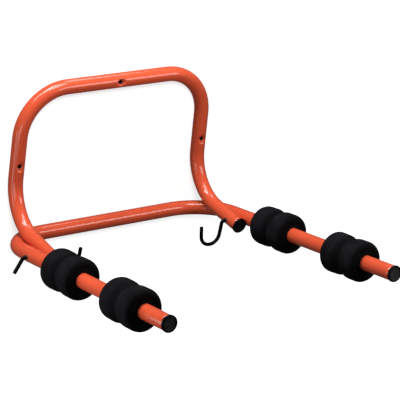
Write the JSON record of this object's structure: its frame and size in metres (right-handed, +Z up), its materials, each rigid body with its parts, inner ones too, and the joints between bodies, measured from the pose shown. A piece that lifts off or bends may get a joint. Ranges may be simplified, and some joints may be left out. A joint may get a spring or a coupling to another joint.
{
  "type": "folding bike wall rack",
  "caption": "Wall rack of bent steel tube for hanging bicycles by the frame, with fold-up arms, foam grips and wire side hooks.",
  "frame": {"origin": "on the wall plane, behind the middle screw hole of the top bar", "axes": "+X to the right seen from the front, +Y into the wall, +Z up; the arms stand out from the wall along -Y"},
  "size_m": [0.5036, 0.5358, 0.2981],
  "materials": {
    "paint": "gloss",
    "foam": "matte",
    "cap_plastic": "satin",
    "hook_wire": "satin"
  },
  "bodies": {
    "frame": {"frame_tube": "paint", "left_frame_cap": "cap_plastic", "right_frame_cap": "cap_plastic"},
    "arms": {"arm_tube": "paint", "left_arm_cap": "cap_plastic", "right_arm_cap": "cap_plastic", "left_rear_grip": "foam", "left_front_grip": "foam", "right_rear_grip": "foam", "right_front_grip": "foam"},
    "left_hook": {"left_hook": "hook_wire"},
    "right_hook": {"right_hook": "hook_wire"}
  },
  "joints": [
    {"name": "arms_fold", "type": "hinge", "parent": "frame", "child": "arms", "pos_m": [0, -0.135, -0.23932], "axis": [-1, 0, 0], "range_deg": [0, 96]},
    {"name": "left_hook_swing", "type": "hinge", "parent": "frame", "child": "left_hook", "pos_m": [-0.18819, -0.135, -0.23932], "axis": [-1, 0, 0], "continuous": true},
    {"name": "right_hook_swing", "type": "hinge", "parent": "frame", "child": "right_hook", "pos_m": [0.18819, -0.135, -0.23932], "axis": [-1, 0, 0], "continuous": true}
  ]
}
